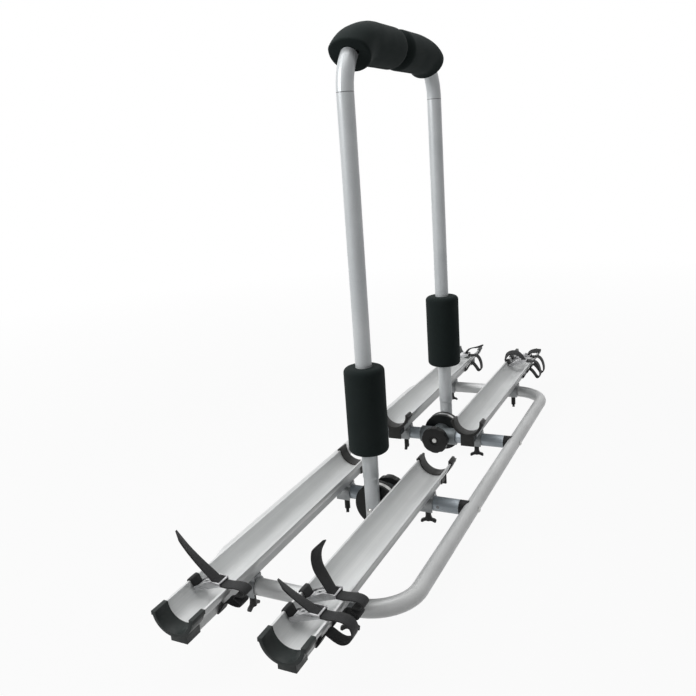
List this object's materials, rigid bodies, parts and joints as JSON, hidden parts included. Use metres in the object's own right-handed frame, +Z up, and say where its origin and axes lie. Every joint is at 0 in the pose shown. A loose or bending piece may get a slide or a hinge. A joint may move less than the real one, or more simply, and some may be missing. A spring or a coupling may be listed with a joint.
{
  "type": "towbar bike rack",
  "caption": "Platform bicycle rack: rounded ring frame with cross tubes, gutter trays with straps, and a padded upright arch on friction hinges",
  "frame": {"origin": "middle of the rack, on the plane that its clamp knobs stand on", "axes": "+X across the trays, +Y along the trays towards the far end, +Z up"},
  "size_m": [0.3842, 1.418, 0.9135],
  "materials": {
    "ring_paint": "satin",
    "cross_tube_paint": "satin",
    "arch_paint": "satin",
    "tray_aluminium": "satin",
    "cap_plastic": "matte",
    "clip_plastic": "matte",
    "plug_plastic": "matte",
    "knob_plastic": "satin",
    "disc_plastic": "satin",
    "drum_aluminium": "satin",
    "hub_casting": "satin",
    "cradle_aluminium": "satin",
    "zinc_steel": "satin",
    "rivet_aluminium": "satin",
    "buckle_steel": "satin",
    "lever_steel": "satin",
    "webbing": "matte",
    "foam": "matte"
  },
  "bodies": {
    "rack": {"ring_frame": "ring_paint", "cross_tube_near": "cross_tube_paint", "cross_tube_far": "cross_tube_paint", "tube_saddles": "plug_plastic", "ring_bolts": "zinc_steel", "plug_rivets": "rivet_aluminium", "hinge_hub_near": "hub_casting", "hinge_hub_far": "hub_casting", "fixed_discs": "disc_plastic", "friction_drums": "drum_aluminium", "pivot_bolts": "zinc_steel", "tray_near_left": "tray_aluminium", "tray_near_right": "tray_aluminium", "tray_far_left": "tray_aluminium", "tray_far_right": "tray_aluminium", "end_cap_near_left": "cap_plastic", "end_cap_near_right": "cap_plastic", "end_cap_far_left": "cap_plastic", "end_cap_far_right": "cap_plastic", "inner_clip_near_left": "clip_plastic", "inner_clip_near_right": "clip_plastic", "inner_clip_far_left": "clip_plastic", "inner_clip_far_right": "clip_plastic", "tray_cradles": "cradle_aluminium", "clamp_bolts": "zinc_steel", "saddle_washers": "zinc_steel", "strap_near_left": "webbing", "strap_near_right_outer": "webbing", "strap_near_right_inner": "webbing", "strap_far_left": "webbing", "strap_far_right_outer": "webbing", "strap_far_right_inner": "webbing", "buckle_frames": "buckle_steel"},
    "arch": {"leg_near": "arch_paint", "leg_far": "arch_paint", "arch_bow": "arch_paint", "leg_plugs": "plug_plastic", "leg_disc_near": "disc_plastic", "leg_disc_far": "disc_plastic", "foam_leg_near": "foam", "foam_leg_far": "foam", "foam_top_near": "foam", "foam_top_far": "foam"},
    "hand_knob_near": {"hand_knob_near": "knob_plastic"},
    "hand_knob_far": {"hand_knob_far": "knob_plastic"},
    "wing_knob_near_outer_left": {"wing_knob_near_outer_left": "knob_plastic"},
    "wing_knob_near_outer_right": {"wing_knob_near_outer_right": "knob_plastic"},
    "wing_knob_near_inner_left": {"wing_knob_near_inner_left": "knob_plastic"},
    "wing_knob_near_inner_right": {"wing_knob_near_inner_right": "knob_plastic"},
    "wing_knob_far_inner_left": {"wing_knob_far_inner_left": "knob_plastic"},
    "wing_knob_far_inner_right": {"wing_knob_far_inner_right": "knob_plastic"},
    "wing_knob_far_outer_left": {"wing_knob_far_outer_left": "knob_plastic"},
    "wing_knob_far_outer_right": {"wing_knob_far_outer_right": "knob_plastic"},
    "cam_lever_near_left": {"cam_lever_near_left": "lever_steel"},
    "cam_lever_near_right_outer": {"cam_lever_near_right_outer": "lever_steel"},
    "cam_lever_near_right_inner": {"cam_lever_near_right_inner": "lever_steel"},
    "cam_lever_far_left": {"cam_lever_far_left": "lever_steel"},
    "cam_lever_far_right_outer": {"cam_lever_far_right_outer": "lever_steel"},
    "cam_lever_far_right_inner": {"cam_lever_far_right_inner": "lever_steel"}
  },
  "joints": [
    {"name": "arch_tilt", "type": "hinge", "parent": "rack", "child": "arch", "pos_m": [0, 0, 0.041], "axis": [0, 1, 0], "range_deg": [-24, 24]},
    {"name": "hand_knob_near_turn", "type": "hinge", "parent": "rack", "child": "hand_knob_near", "pos_m": [0, -0.136, 0.041], "axis": [0, 1, 0], "continuous": true},
    {"name": "hand_knob_far_turn", "type": "hinge", "parent": "rack", "child": "hand_knob_far", "pos_m": [0, 0.136, 0.041], "axis": [0, 1, 0], "continuous": true},
    {"name": "wing_knob_near_outer_left_turn", "type": "hinge", "parent": "rack", "child": "wing_knob_near_outer_left", "pos_m": [-0.083, -0.52, 0.0135], "axis": [0, 0, 1], "continuous": true},
    {"name": "wing_knob_near_outer_right_turn", "type": "hinge", "parent": "rack", "child": "wing_knob_near_outer_right", "pos_m": [0.089, -0.52, 0.0135], "axis": [0, 0, 1], "continuous": true},
    {"name": "wing_knob_near_inner_left_turn", "type": "hinge", "parent": "rack", "child": "wing_knob_near_inner_left", "pos_m": [-0.083, -0.166, 0.0135], "axis": [0, 0, 1], "continuous": true},
    {"name": "wing_knob_near_inner_right_turn", "type": "hinge", "parent": "rack", "child": "wing_knob_near_inner_right", "pos_m": [0.089, -0.166, 0.0135], "axis": [0, 0, 1], "continuous": true},
    {"name": "wing_knob_far_inner_left_turn", "type": "hinge", "parent": "rack", "child": "wing_knob_far_inner_left", "pos_m": [-0.083, 0.166, 0.0135], "axis": [0, 0, 1], "continuous": true},
    {"name": "wing_knob_far_inner_right_turn", "type": "hinge", "parent": "rack", "child": "wing_knob_far_inner_right", "pos_m": [0.089, 0.166, 0.0135], "axis": [0, 0, 1], "continuous": true},
    {"name": "wing_knob_far_outer_left_turn", "type": "hinge", "parent": "rack", "child": "wing_knob_far_outer_left", "pos_m": [-0.083, 0.52, 0.0135], "axis": [0, 0, 1], "continuous": true},
    {"name": "wing_knob_far_outer_right_turn", "type": "hinge", "parent": "rack", "child": "wing_knob_far_outer_right", "pos_m": [0.089, 0.52, 0.0135], "axis": [0, 0, 1], "continuous": true},
    {"name": "cam_lever_near_left_lift", "type": "hinge", "parent": "rack", "child": "cam_lever_near_left", "pos_m": [-0.07858, -0.617, 0.10728], "axis": [0, 1, 0], "range_deg": [0, 40]},
    {"name": "cam_lever_near_right_outer_lift", "type": "hinge", "parent": "rack", "child": "cam_lever_near_right_outer", "pos_m": [0.09342, -0.636, 0.10728], "axis": [0, 1, 0], "range_deg": [0, 40]},
    {"name": "cam_lever_near_right_inner_lift", "type": "hinge", "parent": "rack", "child": "cam_lever_near_right_inner", "pos_m": [0.09342, -0.588, 0.10728], "axis": [0, 1, 0], "range_deg": [0, 40]},
    {"name": "cam_lever_far_left_lift", "type": "hinge", "parent": "rack", "child": "cam_lever_far_left", "pos_m": [-0.07858, 0.617, 0.10728], "axis": [0, 1, 0], "range_deg": [0, 40]},
    {"name": "cam_lever_far_right_outer_lift", "type": "hinge", "parent": "rack", "child": "cam_lever_far_right_outer", "pos_m": [0.09342, 0.636, 0.10728], "axis": [0, 1, 0], "range_deg": [0, 40]},
    {"name": "cam_lever_far_right_inner_lift", "type": "hinge", "parent": "rack", "child": "cam_lever_far_right_inner", "pos_m": [0.09342, 0.588, 0.10728], "axis": [0, 1, 0], "range_deg": [0, 40]}
  ]
}
